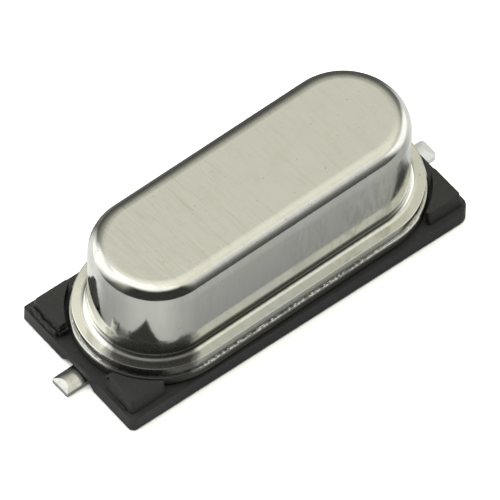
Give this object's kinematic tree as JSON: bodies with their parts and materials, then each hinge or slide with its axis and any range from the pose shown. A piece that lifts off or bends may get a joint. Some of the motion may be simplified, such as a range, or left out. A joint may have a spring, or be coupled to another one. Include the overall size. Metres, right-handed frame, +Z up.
{
  "type": "crystal oscillator",
  "caption": "Surface-mount quartz crystal: long round-ended drawn metal can welded to a glass-sealed header on a black plastic spacer, with flat leads bent out under both ends.",
  "frame": {"origin": "middle of the spacer's outline, in the plane of the two solder faces", "axes": "+X along the can from the left lead to the right lead, +Y towards the back, +Z up, away from the circuit board"},
  "size_m": [0.0126, 0.0047, 0.0039],
  "materials": {
    "nickel_can": "bright nickel plate, rolled sheet with fine brushed marks on the roof, drawn marks on the wall",
    "header_metal": "nickel plate, turned rim with weld flash along the lip",
    "seal_glass": "dark green sealing glass",
    "tinned_lead": "bright tin over iron alloy wire, flattened and coined at the tips",
    "clip_metal": "plain spring sheet",
    "quartz": "lapped clear quartz",
    "silver_film": "evaporated silver",
    "silver_adhesive": "silver-filled epoxy",
    "black_plastic": "moulded black plastic, satin, with a rough gate scar at the back left corner"
  },
  "bodies": {
    "root": {"can": "nickel_can", "header": "header_metal", "left_glass_seal": "seal_glass", "right_glass_seal": "seal_glass", "left_lead": "tinned_lead", "right_lead": "tinned_lead", "left_clip": "clip_metal", "right_clip": "clip_metal", "quartz_blank": "quartz", "front_electrode": "silver_film", "back_electrode": "silver_film", "left_adhesive": "silver_adhesive", "right_adhesive": "silver_adhesive", "spacer": "black_plastic"}
  },
  "joints": []
}
